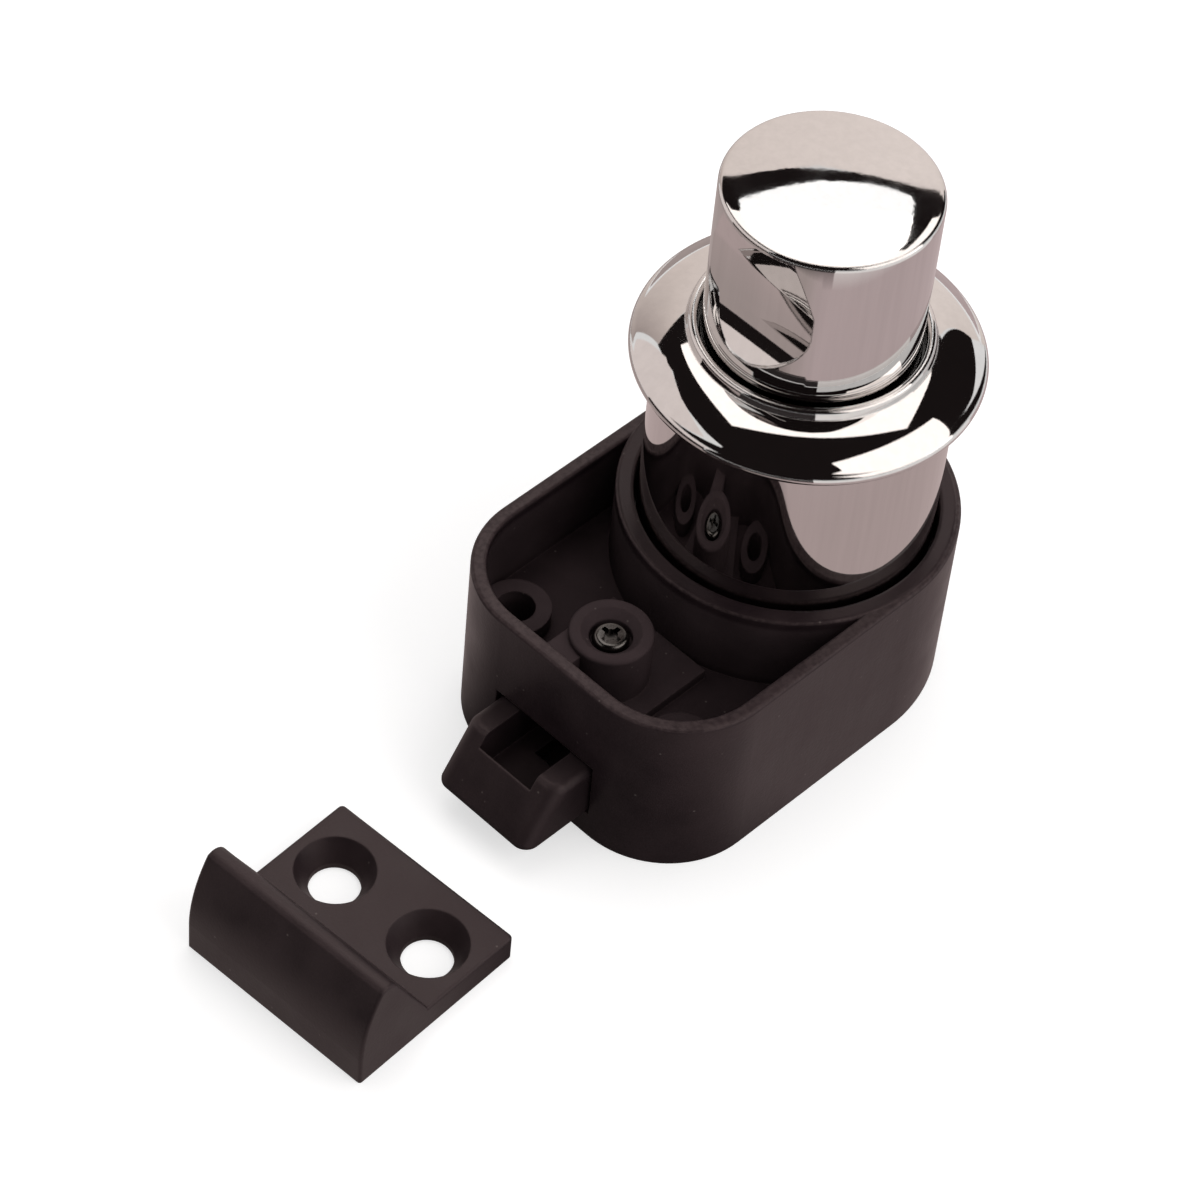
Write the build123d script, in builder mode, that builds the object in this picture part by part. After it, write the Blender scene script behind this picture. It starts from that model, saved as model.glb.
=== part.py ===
from build123d import *
import math
import os

# Pushbutton latch for a cupboard door, with the striker that it closes on.
# Millimetres. The button's axis is Z, and the front of the door is towards +Z.
# The bolt points along -Y. Z = 0 is the underside of the latch's body.
# Pressing the button slides a wedge down through the bolt, which draws the bolt back.

os.makedirs("parts", exist_ok=True)

# Board that the latch clamps
board_thickness = 15.0

# Fits and clearances
running_gap = 0.08
slide_gap = 0.25
seat_gap = 0.05
height_tolerance = 0.01

# Body
backset = 25.0
body_margin = 0.25
body_depth = 15.5
wall = 1.2
front_corner_radius = 8.0
deck_thickness = 0.8
rim_round = 0.3
boss_round = 0.25

# Raised pad over the bolt's way
pad_height = 0.9

# Screw bosses in the front corners
fixing_spacing = 17.4
fixing_from_front = 5.3
fixing_boss_radius = 2.75
fixing_boss_top = 10.0
fixing_hole_radius = 1.5
fixing_mouth_radius = 2.2

# Boss for the screw that holds the bottom cover
cover_boss_radius = 3.2
cover_boss_top = 14.0
cover_boss_from_front = 6.4
cover_boss_mouth_radius = 2.3
boss_web_width = 2.6
boss_web_middle = -1.3
boss_web_drop = 0.5
cover_screw_radius = 0.75
cover_screw_head_radius = 1.4
cover_screw_head_height = 0.9
cover_screw_head_round = 0.45
cover_screw_end = 0.7
cover_screw_head_sink = 0.45
driver_slot_width = 0.4
driver_slot_length = 1.7
driver_slot_depth = 0.5
driver_dimple_radius = 0.5

post_radius = 1.5

# Bottom cover
cover_thickness = 2.2
cover_gap = 0.15

# Button and rosette
knob_radius = 8.1
knob_proud = 16.15
knob_dome = 0.35
knob_edge_round = 0.35
knob_socket_radius = 3.2
knob_socket_drop = 3.0
knob_skirt_wall = 1.5
knob_skirt_depth = 6.0
knob_crown = 3.6
knob_face_wall = 1.6
skirt_into_tower = 0.4
knob_travel = 6.0

# Finger recess in the knob, facing the bolt
recess_depth = 1.7
recess_top_below = 0.5
recess_ledge = 0.8
recess_slope_height = 4.1
recess_slope_turn = 1.5
recess_flat = 4.0
recess_foot_radius = 3.6
recess_end_radius = 5.0

# Rosette
flange_overhang = 1.9
flange_edge = 1.0
flange_round = 0.35
flange_crown = 1.75
flange_crown_middle = 1.2
bore_ring_width = 0.85
bore_ring_height = 0.7
bore_ring_draft = 0.1
bore_gap = 0.25
sleeve_wall = 1.55
sleeve_into_collar = 2.0
bush_wall = 0.75
bush_seat_wall = 0.77
bush_lip = 1.5
bush_length = 3.7

# Collar and guide tower
collar_gap = 0.3
collar_wall = 1.4
collar_proud = 0.1
tower_wall = 1.2
tower_flange = 2.2
tower_floor = 1.5
seat_ring = 1.2
tower_screw_radius = 0.8
tower_screw_head_radius = 1.35
tower_screw_head_height = 0.9
tower_screw_bite = 1.8

# Stem, wedge and their small parts
stem_radius = 2.2
stem_chamfer = 0.4
wedge_radius = 3.2
wedge_tip_width = 1.6
wedge_slope = 0.85
wedge_clip_gap = 0.15
wedge_web = 0.6
stem_into_wedge = 3.82
wedge_pin_radius = 0.6
clip_thickness = 0.7
clip_radius = 3.8
clip_mouth = 3.0
nut_flats = 7.0
nut_height = 2.0
washer_thickness = 0.6
spring_washer_gap = 0.2

# Knob spring
knob_spring_side_gap = 0.9
knob_spring_wire = 0.8
knob_spring_turns = 6

# Bolt
bolt_width = 9.7
bolt_floor_gap = 0.4
bolt_headroom = 0.3
bolt_height = 4.8
bolt_reach = 6.3
bolt_nose_slant = 3.0
bolt_nose_foot = 0.4
bolt_nose_corner = 1.2
bolt_edge_round = 0.8
bolt_trough_width = 5.4
bolt_trough_floor = 1.2
bolt_trough_from_front = 2.3
bolt_block_over_wedge_tip = 1.0
bolt_back_gap = 0.4
guide_rib = 1.0
guide_rib_length = 14.2

# Bolt spring
bolt_spring_radius = 1.75
bolt_spring_wire = 0.4
bolt_spring_turns = 8
bolt_spring_bore_end = -0.6
bolt_spring_peg_radius = 1.15
bolt_spring_peg_length = 1.6

# Striker, lying by itself in front of the bolt
striker_x = -7.0
striker_y = -53.88
striker_turn = 3.2
striker_width = 17.4
striker_length = 16.05
striker_base = 2.3
striker_lip_height = 9.1
striker_lip_foot = 7.0
striker_lip_top = 3.6
striker_lip_face = 2.7
striker_lip_lean = 1.9
striker_lip_hollow = 0.5
striker_lip_round = 0.15
striker_lip_top_drop = 0.8
striker_hole_spacing = 9.4
striker_hole_from_back = 4.85
striker_hole_radius = 1.975
striker_hole_land = 0.5
striker_mouth_radius = 3.1
striker_corner_radius = 0.4
striker_edge_round = 0.25

# Bolt and wedge, worked out from the sizes
bolt_bottom = cover_thickness + bolt_floor_gap
bolt_top = bolt_bottom + bolt_height
bolt_spring_height = bolt_bottom + bolt_height / 2
bolt_half_width = bolt_width / 2
bolt_travel = knob_travel * wedge_slope
wedge_tip_height = bolt_bottom + knob_travel
bolt_block_top = wedge_tip_height + bolt_block_over_wedge_tip

# Bore, sleeve and collar, from the knob outwards
bore_radius = knob_radius + bore_gap
bush_inner_radius = knob_radius + running_gap
bush_outer_radius = bush_inner_radius + bush_wall
sleeve_inner_radius = bush_outer_radius + seat_gap + bush_seat_wall
sleeve_radius = sleeve_inner_radius + sleeve_wall
flange_radius = sleeve_radius + flange_overhang
collar_inner_radius = sleeve_radius + collar_gap
collar_outer_radius = collar_inner_radius + collar_wall

# Body
half_width = collar_outer_radius + body_margin
inner_half_width = half_width - wall
front_y = -backset
deck_underside = bolt_top + bolt_headroom
deck_top = deck_underside + deck_thickness
cover_boss_y = front_y + cover_boss_from_front
fixing_y = front_y + fixing_from_front
post_bottom = bolt_bottom + bolt_trough_floor + slide_gap

# Heights of the collar, the sleeve and the rosette
collar_top = body_depth + collar_proud
sleeve_bottom = collar_top - sleeve_into_collar
flange_underside = collar_top + board_thickness
flange_top = flange_underside + flange_edge
ring_foot = flange_top + flange_crown
ring_top = ring_foot + bore_ring_height
bush_top = ring_top - bush_lip
bush_bottom = bush_top - bush_length

# Guide tower
tower_outer_radius = sleeve_inner_radius - seat_gap
tower_inner_radius = tower_outer_radius - tower_wall
tower_top = bush_bottom - slide_gap
tower_bottom = sleeve_bottom - tower_flange - slide_gap
seat_ring_bottom = tower_bottom - seat_ring
tower_screw_circle = (tower_inner_radius + sleeve_radius) / 2

# Knob and stem
knob_top = flange_top + knob_proud - knob_dome
knob_bottom = tower_top - skirt_into_tower
knob_ceiling = knob_bottom + knob_skirt_depth
knob_chamber_radius = knob_radius - recess_depth - knob_face_wall
knob_chamber_top = knob_top - knob_crown
knob_socket_bottom = knob_ceiling - knob_socket_drop
knob_spring_radius = knob_radius - knob_skirt_wall - knob_spring_side_gap - knob_spring_wire / 2
recess_face_y = -knob_radius + recess_depth
recess_top = knob_top - recess_top_below
recess_shoulder = recess_top - recess_slope_height
recess_foot = recess_shoulder - recess_flat
recess_foot_drop = math.sqrt(recess_depth * (2 * recess_foot_radius - recess_depth))
recess_end_centre = recess_foot - recess_foot_drop + recess_end_radius
stem_top = knob_chamber_top
stem_over_wedge_tip = (wedge_radius - wedge_tip_width + stem_radius + wedge_web) / wedge_slope
stem_bottom = wedge_tip_height + stem_over_wedge_tip
wedge_top = stem_bottom + stem_into_wedge
wedge_pin_height = stem_bottom + stem_into_wedge / 2
clip_bottom = wedge_top + wedge_clip_gap
tower_floor_height = clip_bottom + clip_thickness + wedge_clip_gap
tower_floor_top = tower_floor_height + tower_floor

# Places along the bolt
bolt_front_y = front_y - bolt_reach
bolt_tail_reach = math.sqrt((collar_inner_radius - bolt_back_gap) ** 2 - bolt_half_width**2)
bolt_tail_y = bolt_tail_reach - bolt_travel
window_half_width = wedge_radius + slide_gap
window_front_y = -wedge_radius - bolt_travel - 2 * slide_gap
trough_front_y = bolt_front_y + bolt_trough_from_front
trough_rear_y = cover_boss_y + post_radius + slide_gap
slot_rear_y = cover_boss_y + cover_screw_radius + slide_gap
slot_front_y = cover_boss_y - cover_screw_radius - bolt_travel - slide_gap


def body_outline(inset):
    """The body's D outline, drawn in by inset from its outer face."""
    with BuildSketch() as outline:
        Circle(half_width - inset)
        with Locations((0, (front_y + inset) / 2)):
            Rectangle(2 * (half_width - inset), -(front_y + inset))
        front_corners = outline.vertices().group_by(Axis.Y)[0]
        fillet(front_corners, radius=front_corner_radius - inset)
    return outline.sketch


def ring_outline(outer, inner):
    """A flat ring about the button's axis."""
    with BuildSketch() as outline:
        Circle(outer)
        Circle(inner, mode=Mode.SUBTRACT)
    return outline.sketch


def coil(radius, height, turns, base):
    """A coil's path, rising from the base plane: two tangent arcs for each half turn."""
    half_turns = 2 * turns
    rise = height / half_turns
    climb = math.hypot(math.pi * radius, rise)
    for step in range(half_turns):
        side = (-1) ** step
        start = base.from_local_coords(Vector(side * radius, 0, step * rise))
        end = base.from_local_coords(Vector(-side * radius, 0, (step + 1) * rise))
        way_out = Vector(0, side * math.pi * radius, rise) / climb
        way_in = Vector(0, -side * math.pi * radius, rise) / climb
        span = Vector(-2 * side * radius, 0, rise)
        bend = 2 * (1 - way_out.dot(way_in))
        lean = span.dot(way_out + way_in)
        reach = (math.sqrt(lean**2 + bend * span.dot(span)) - lean) / bend
        start_way = base.x_dir * way_out.X + base.y_dir * way_out.Y + base.z_dir * way_out.Z
        end_way = base.x_dir * way_in.X + base.y_dir * way_in.Y + base.z_dir * way_in.Z
        first_corner = start + start_way * reach
        second_corner = end - end_way * reach
        middle = (first_corner + second_corner) / 2
        TangentArc(start, middle, tangent=start_way)
        TangentArc(middle, end, tangent=second_corner - first_corner)


def at_height(height):
    """A test for the edges whose middle lies at a height."""
    return lambda edge: abs(edge.center().Z - height) < height_tolerance


def wedge_face_y(height, gap):
    """Y of the slanted cam face at a height, gap clear of the wedge."""
    return -wedge_radius + wedge_tip_width + wedge_slope * (height - wedge_tip_height) + gap


# Housing: an open tray on a deck, with the mechanism's space under the deck
with BuildPart() as housing:
    with BuildSketch():
        add(body_outline(0))
    extrude(amount=body_depth)
    with BuildSketch(Plane.XY.offset(deck_top)):
        add(body_outline(wall))
    extrude(amount=body_depth - deck_top, mode=Mode.SUBTRACT)
    fillet(housing.edges().filter_by(at_height(body_depth)), radius=rim_round)
    with BuildSketch():
        add(body_outline(wall))
    extrude(amount=deck_underside, mode=Mode.SUBTRACT)

    # Collar that the sleeve stands in, and the ring that carries the tower
    with BuildSketch(Plane.XY.offset(deck_underside)):
        Circle(collar_inner_radius)
    extrude(amount=deck_thickness, mode=Mode.SUBTRACT)
    with BuildSketch(Plane.XZ) as collar_profile:
        with Locations(((collar_inner_radius + collar_outer_radius) / 2, deck_underside)):
            Rectangle(
                collar_wall,
                collar_top - deck_underside,
                align=(Align.CENTER, Align.MIN),
            )
        fillet(collar_profile.vertices().group_by(Axis.Y)[-1], radius=rim_round)
    revolve(axis=Axis.Z)
    with BuildSketch(Plane.XY.offset(seat_ring_bottom)):
        add(ring_outline(collar_inner_radius + collar_wall / 2, tower_inner_radius))
    extrude(amount=seat_ring)

    # Raised pad over the bolt and as wide, the bosses, and the web that ties one to the front wall
    wall_middle_y = front_y + wall / 2
    pad_rear_y = -collar_outer_radius - running_gap
    with BuildSketch(Plane.XY.offset(deck_underside)):
        with Locations((0, (wall_middle_y + pad_rear_y) / 2)):
            Rectangle(bolt_width, pad_rear_y - wall_middle_y)
    extrude(amount=deck_thickness + pad_height)
    with BuildSketch(Plane.XY.offset(deck_underside)):
        with Locations((boss_web_middle, (wall_middle_y + cover_boss_y) / 2)):
            Rectangle(boss_web_width, cover_boss_y - wall_middle_y)
    extrude(amount=cover_boss_top - boss_web_drop - deck_underside)
    with BuildSketch():
        with GridLocations(fixing_spacing, 0, 2, 1):
            with Locations((0, fixing_y)):
                Circle(fixing_boss_radius)
    extrude(amount=fixing_boss_top)
    with BuildSketch(Plane.XY.offset(deck_underside)):
        with Locations((0, cover_boss_y)):
            Circle(cover_boss_radius)
    extrude(amount=cover_boss_top - deck_underside)

    # Post under the middle boss: it stands in the bolt's trough and stops the bolt
    with BuildSketch(Plane.XY.offset(post_bottom)):
        with Locations((0, cover_boss_y)):
            Circle(post_radius)
    extrude(amount=deck_underside - post_bottom)
    cover_boss_rim = housing.edges().filter_by(GeomType.CIRCLE).filter_by(at_height(cover_boss_top))
    fillet(cover_boss_rim, radius=boss_round)
    with Locations(
        (-fixing_spacing / 2, fixing_y, 0),
        (fixing_spacing / 2, fixing_y, 0),
    ):
        Cylinder(
            fixing_hole_radius,
            fixing_boss_top,
            align=(Align.CENTER, Align.CENTER, Align.MIN),
            mode=Mode.SUBTRACT,
        )
        Cone(
            fixing_mouth_radius,
            fixing_hole_radius,
            fixing_mouth_radius - fixing_hole_radius,
            align=(Align.CENTER, Align.CENTER, Align.MIN),
            mode=Mode.SUBTRACT,
        )
    with Locations((0, cover_boss_y, cover_boss_top)):
        CounterBoreHole(
            radius=cover_screw_radius + running_gap,
            counter_bore_radius=cover_screw_head_radius + slide_gap,
            counter_bore_depth=cover_screw_head_height + cover_screw_head_sink,
            depth=cover_boss_top - post_bottom,
        )
        Cone(
            cover_screw_head_radius + slide_gap,
            cover_boss_mouth_radius,
            cover_boss_mouth_radius - cover_screw_head_radius - slide_gap,
            align=(Align.CENTER, Align.CENTER, Align.MAX),
            mode=Mode.SUBTRACT,
        )

    # Ribs that guide the bolt, and its way out through the front wall
    with BuildSketch(Plane.XY.offset(cover_thickness + seat_gap)):
        with Locations((0, wall_middle_y + guide_rib_length / 2)):
            with GridLocations(bolt_width + 2 * slide_gap + guide_rib, 0, 2, 1):
                Rectangle(guide_rib, guide_rib_length)
    extrude(amount=deck_underside - cover_thickness)
    window_bottom = bolt_bottom - slide_gap
    with BuildSketch(Plane.XY.offset(window_bottom)):
        with Locations((0, wall_middle_y)):
            Rectangle(bolt_width + 2 * slide_gap, 2 * wall)
    extrude(amount=deck_underside - window_bottom, mode=Mode.SUBTRACT)

    # Peg for the bolt's spring on the rear wall, and holes for the tower's screws
    with BuildSketch(Plane.XZ.offset(-inner_half_width - wall / 2)):
        with Locations((0, bolt_spring_height)):
            Circle(bolt_spring_peg_radius)
    extrude(amount=bolt_spring_peg_length + wall / 2)
    with Locations(Plane.XY.offset(seat_ring_bottom)):
        with PolarLocations(tower_screw_circle, 2):
            Cylinder(
                tower_screw_radius + running_gap,
                seat_ring,
                align=(Align.CENTER, Align.CENTER, Align.MIN),
                mode=Mode.SUBTRACT,
            )
housing.part.label = "housing"
export_step(housing.part, "parts/housing.step")

# Bottom cover, with notches for the fixing bosses and a hole for its screw
with BuildPart() as bottom_cover:
    with BuildSketch():
        add(body_outline(wall + cover_gap))
        with Locations((0, fixing_y)):
            with GridLocations(fixing_spacing, 0, 2, 1):
                Circle(fixing_boss_radius + cover_gap, mode=Mode.SUBTRACT)
    extrude(amount=cover_thickness)
    with Locations((0, cover_boss_y, cover_screw_end - seat_gap)):
        Cylinder(
            cover_screw_radius + seat_gap,
            cover_thickness,
            align=(Align.CENTER, Align.CENTER, Align.MIN),
            mode=Mode.SUBTRACT,
        )
bottom_cover.part.label = "bottom_cover"
export_step(bottom_cover.part, "parts/bottom_cover.step")

# Screw down through the middle boss, the post and the bolt's slot into the cover
with BuildPart() as cover_screw:
    head_bottom = cover_boss_top - cover_screw_head_height - cover_screw_head_sink + seat_gap
    with BuildSketch(Plane.XY.offset(cover_screw_end)):
        with Locations((0, cover_boss_y)):
            Circle(cover_screw_radius)
    extrude(amount=head_bottom - cover_screw_end)
    with BuildSketch(Plane.XY.offset(head_bottom)):
        with Locations((0, cover_boss_y)):
            Circle(cover_screw_head_radius)
    extrude(amount=cover_screw_head_height)
    fillet(cover_screw.edges().group_by(Axis.Z)[-1], radius=cover_screw_head_round)
    head_top = head_bottom + cover_screw_head_height
    with BuildSketch(Plane.XY.offset(head_top - driver_slot_depth)):
        with Locations((0, cover_boss_y)):
            Rectangle(driver_slot_length, driver_slot_width)
            Rectangle(driver_slot_width, driver_slot_length)
            Circle(driver_dimple_radius)
    extrude(amount=driver_slot_depth, mode=Mode.SUBTRACT)
cover_screw.part.label = "cover_screw"
export_step(cover_screw.part, "parts/cover_screw.step")

# Guide tower inside the sleeve: it carries the stem and the knob's spring
with BuildPart() as guide_tower:
    with BuildSketch(Plane.XY.offset(tower_bottom)):
        add(ring_outline(sleeve_radius, tower_inner_radius))
    extrude(amount=tower_flange)
    with BuildSketch(Plane.XY.offset(tower_bottom)):
        add(ring_outline(tower_outer_radius, tower_inner_radius))
    extrude(amount=tower_top - tower_bottom)
    with BuildSketch(Plane.XY.offset(tower_floor_height)):
        add(ring_outline(tower_inner_radius + tower_wall / 2, stem_radius + running_gap))
    extrude(amount=tower_floor)
    with Locations(Plane.XY.offset(tower_bottom)):
        with PolarLocations(tower_screw_circle, 2):
            Cylinder(
                tower_screw_radius + seat_gap,
                tower_screw_bite + seat_gap,
                align=(Align.CENTER, Align.CENTER, Align.MIN),
                mode=Mode.SUBTRACT,
            )
guide_tower.part.label = "guide_tower"
export_step(guide_tower.part, "parts/guide_tower.step")

# Two screws that hold the tower down to the housing, from below
with BuildPart() as tower_screws:
    with Locations(Plane.XY.offset(seat_ring_bottom - tower_screw_head_height - seat_gap)):
        with PolarLocations(tower_screw_circle, 2):
            Cylinder(
                tower_screw_head_radius,
                tower_screw_head_height,
                align=(Align.CENTER, Align.CENTER, Align.MIN),
            )
    with Locations(Plane.XY.offset(seat_ring_bottom - tower_screw_head_height)):
        with PolarLocations(tower_screw_circle, 2):
            Cylinder(
                tower_screw_radius,
                tower_screw_head_height + seat_ring + tower_screw_bite,
                align=(Align.CENTER, Align.CENTER, Align.MIN),
            )
tower_screws.part.label = "tower_screws"
export_step(tower_screws.part, "parts/tower_screws.step")

# Rosette and its sleeve, one turned piece
with BuildPart() as rosette:
    with BuildSketch(Plane.XZ):
        with BuildLine():
            edge_mid = flange_underside + flange_edge / 2
            ring_outer = bore_radius + bore_ring_width
            ring_mid = bore_radius + bore_ring_width / 2
            crown_mid_radius = (flange_radius - flange_round + ring_outer) / 2
            ring_waist = ring_top - bore_ring_height / 2
            Line((ring_outer, ring_foot), (ring_outer - bore_ring_draft, ring_waist))
            ThreePointArc(
                (ring_outer - bore_ring_draft, ring_waist),
                (ring_mid, ring_top),
                (bore_radius, ring_waist),
            )
            Polyline(
                (bore_radius, ring_waist),
                (bore_radius, bush_top + seat_gap),
                (bush_outer_radius + seat_gap, bush_top + seat_gap),
                (bush_outer_radius + seat_gap, bush_bottom),
                (sleeve_inner_radius, bush_bottom),
                (sleeve_inner_radius, sleeve_bottom),
                (sleeve_radius, sleeve_bottom),
                (sleeve_radius, flange_underside),
                (flange_radius - flange_round, flange_underside),
            )
            ThreePointArc(
                (flange_radius - flange_round, flange_underside),
                (flange_radius, edge_mid),
                (flange_radius - flange_round, flange_top),
            )
            ThreePointArc(
                (flange_radius - flange_round, flange_top),
                (crown_mid_radius, flange_top + flange_crown_middle),
                (ring_outer, ring_foot),
            )
        make_face()
    revolve(axis=Axis.Z)
rosette.part.label = "rosette"
export_step(rosette.part, "parts/rosette.step")

# Bush that guides the knob in the rosette's bore
with BuildPart() as bore_bush:
    with BuildSketch(Plane.XY.offset(bush_bottom)):
        add(ring_outline(bush_outer_radius, bush_inner_radius))
    extrude(amount=bush_length)
bore_bush.part.label = "bore_bush"
export_step(bore_bush.part, "parts/bore_bush.step")

# Cutter for the finger recess: a flat with a round foot, a half-round lower end and a ledge on top
outside_y = -2 * knob_radius
slope_turn = math.radians(recess_slope_turn)
slope_across = (math.cos(slope_turn), -math.sin(slope_turn), 0)
slope_along = (math.sin(slope_turn), math.cos(slope_turn), 0)
with BuildPart() as recess_cutter:
    with BuildSketch(Plane.YZ):
        with BuildLine():
            Polyline(
                (outside_y, recess_top),
                (recess_face_y, recess_top),
                (recess_face_y, recess_foot),
            )
            foot_arc = JernArc(
                start=(recess_face_y, recess_foot),
                tangent=(0, -1),
                radius=recess_foot_radius,
                arc_size=-90,
            )
            Polyline(
                foot_arc @ 1,
                (outside_y, recess_foot - recess_foot_radius),
                (outside_y, recess_top),
            )
        make_face()
    extrude(amount=knob_radius, both=True)

    # Slope over the flat, turned a little about the knob's axis
    slope_lean = (recess_depth - recess_ledge) / recess_slope_height
    with BuildSketch(Plane(origin=(0, 0, 0), x_dir=slope_along, z_dir=slope_across)):
        with BuildLine():
            Polyline(
                (recess_face_y + slope_lean * recess_flat, recess_foot),
                (recess_face_y - slope_lean * 2 * recess_slope_height, recess_top + recess_slope_height),
                (0, recess_top + recess_slope_height),
                (0, recess_foot),
                (recess_face_y + slope_lean * recess_flat, recess_foot),
            )
        make_face()
    extrude(amount=2 * knob_radius, both=True, mode=Mode.SUBTRACT)
    with BuildSketch(Plane.XZ):
        with Locations((0, recess_end_centre)):
            Circle(recess_end_radius)
            Rectangle(
                2 * recess_end_radius,
                recess_top - recess_end_centre,
                align=(Align.CENTER, Align.MIN),
            )
    extrude(amount=2 * knob_radius, mode=Mode.INTERSECT)

# Knob: a hollow metal cap with the finger recess on the bolt's side
with BuildPart() as knob:
    with BuildSketch(Plane.XZ) as knob_profile:
        with BuildLine():
            dome_radius = (knob_radius**2 + knob_dome**2) / (2 * knob_dome)
            dome_angle = math.degrees(math.asin(knob_radius / dome_radius))
            dome_centre = (0, knob_top + knob_dome - dome_radius)
            dome = CenterArc(dome_centre, dome_radius, 90 - dome_angle, dome_angle)
            Polyline(
                dome @ 1,
                (0, knob_bottom),
                (knob_radius, knob_bottom),
                dome @ 0,
            )
        make_face()
        rim_corner = knob_profile.vertices().group_by(Axis.X)[-1].sort_by(Axis.Y)[-1]
        fillet(rim_corner, radius=knob_edge_round)
    revolve(axis=Axis.Z)
    add(recess_cutter.part, mode=Mode.SUBTRACT)
    with BuildSketch(Plane.XY.offset(knob_bottom)):
        Circle(knob_radius - knob_skirt_wall)
    extrude(amount=knob_skirt_depth, mode=Mode.SUBTRACT)
    with BuildSketch(Plane.XY.offset(knob_ceiling)):
        add(ring_outline(knob_chamber_radius, knob_socket_radius))
    extrude(amount=knob_chamber_top - knob_ceiling, mode=Mode.SUBTRACT)
    with BuildSketch(Plane.XY.offset(knob_socket_bottom)):
        Circle(knob_socket_radius)
    extrude(amount=knob_socket_drop)
    with BuildSketch(Plane.XY.offset(knob_socket_bottom)):
        Circle(stem_radius + seat_gap)
    extrude(amount=stem_top + seat_gap - knob_socket_bottom, mode=Mode.SUBTRACT)
knob.part.label = "knob"
export_step(knob.part, "parts/knob.step")

# Steel stem from the knob down to the wedge
with BuildPart() as stem:
    with BuildSketch(Plane.XY.offset(stem_bottom)):
        Circle(stem_radius)
    extrude(amount=stem_top - stem_bottom)
    chamfer(stem.edges().group_by(Axis.Z)[-1], length=stem_chamfer)
    with BuildSketch(Plane.YZ):
        with Locations((0, wedge_pin_height)):
            Circle(wedge_pin_radius + seat_gap)
    extrude(amount=wedge_radius, both=True, mode=Mode.SUBTRACT)
stem.part.label = "stem"
export_step(stem.part, "parts/stem.step")

# Lock nut that holds the stem in the knob
with BuildPart() as stem_nut:
    with BuildSketch(Plane.XY.offset(knob_socket_bottom - nut_height - seat_gap)):
        RegularPolygon(radius=nut_flats / 2, side_count=6, major_radius=False)
        Circle(stem_radius + seat_gap, mode=Mode.SUBTRACT)
    extrude(amount=nut_height)
stem_nut.part.label = "stem_nut"
export_step(stem_nut.part, "parts/stem_nut.step")

# Wedge: a round plunger whose lower end is cut on a slant
with BuildPart() as cam_wedge:
    with BuildSketch(Plane.XY.offset(wedge_tip_height)):
        Circle(wedge_radius)
    extrude(amount=wedge_top - wedge_tip_height)
    with BuildSketch(Plane.YZ):
        with BuildLine():
            Polyline(
                (wedge_face_y(wedge_tip_height, 0), wedge_tip_height),
                (wedge_face_y(wedge_top, 0), wedge_top),
                (wedge_face_y(wedge_top, 0) + wedge_radius, wedge_top),
                (wedge_face_y(wedge_top, 0) + wedge_radius, wedge_tip_height),
                (wedge_face_y(wedge_tip_height, 0), wedge_tip_height),
            )
        make_face()
    extrude(amount=2 * wedge_radius, both=True, mode=Mode.SUBTRACT)
    with BuildSketch(Plane.XY.offset(stem_bottom - seat_gap)):
        Circle(stem_radius + seat_gap)
    extrude(amount=wedge_top - stem_bottom + seat_gap, mode=Mode.SUBTRACT)
    with BuildSketch(Plane.YZ):
        with Locations((0, wedge_pin_height)):
            Circle(wedge_pin_radius + seat_gap)
    extrude(amount=wedge_radius, both=True, mode=Mode.SUBTRACT)
cam_wedge.part.label = "cam_wedge"
export_step(cam_wedge.part, "parts/cam_wedge.step")

# Cross pin through the wedge and the stem
with BuildPart() as wedge_pin:
    with BuildSketch(Plane.YZ):
        with Locations((0, wedge_pin_height)):
            Circle(wedge_pin_radius)
    extrude(amount=wedge_radius - slide_gap, both=True)
wedge_pin.part.label = "wedge_pin"
export_step(wedge_pin.part, "parts/wedge_pin.step")

# Clip on the stem that stops the knob against the tower's floor
with BuildPart() as retaining_clip:
    with BuildSketch(Plane.XY.offset(clip_bottom)):
        Circle(clip_radius)
        Circle(stem_radius + seat_gap, mode=Mode.SUBTRACT)
        with Locations((0, clip_radius)):
            Rectangle(clip_mouth, 2 * clip_radius, mode=Mode.SUBTRACT)
    extrude(amount=clip_thickness)
retaining_clip.part.label = "retaining_clip"
export_step(retaining_clip.part, "parts/retaining_clip.step")

# Washers at the two ends of the knob's spring
washer_outer_radius = knob_spring_radius + knob_spring_wire
with BuildPart() as lower_washer:
    with BuildSketch(Plane.XY.offset(tower_floor_top)):
        add(ring_outline(washer_outer_radius, stem_radius + slide_gap))
    extrude(amount=washer_thickness)
lower_washer.part.label = "lower_washer"
export_step(lower_washer.part, "parts/lower_washer.step")

with BuildPart() as upper_washer:
    with BuildSketch(Plane.XY.offset(knob_ceiling - washer_thickness)):
        add(ring_outline(washer_outer_radius, knob_socket_radius + slide_gap))
    extrude(amount=washer_thickness)
upper_washer.part.label = "upper_washer"
export_step(upper_washer.part, "parts/upper_washer.step")

# Knob spring, a compression coil about the stem
knob_spring_bottom = tower_floor_top + washer_thickness + spring_washer_gap
knob_spring_top = knob_ceiling - washer_thickness - spring_washer_gap
knob_spring_rise = knob_spring_top - knob_spring_bottom - knob_spring_wire
with BuildPart() as knob_spring:
    with BuildLine() as knob_coil:
        knob_spring_base = Plane.XY.offset(knob_spring_bottom + knob_spring_wire / 2)
        coil(knob_spring_radius, knob_spring_rise, knob_spring_turns, knob_spring_base)
    with BuildSketch(Plane(origin=knob_coil.line @ 0, z_dir=knob_coil.line % 0)):
        Circle(knob_spring_wire / 2)
    sweep(path=knob_coil.line)
knob_spring.part.label = "knob_spring"
export_step(knob_spring.part, "parts/knob_spring.step")

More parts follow.
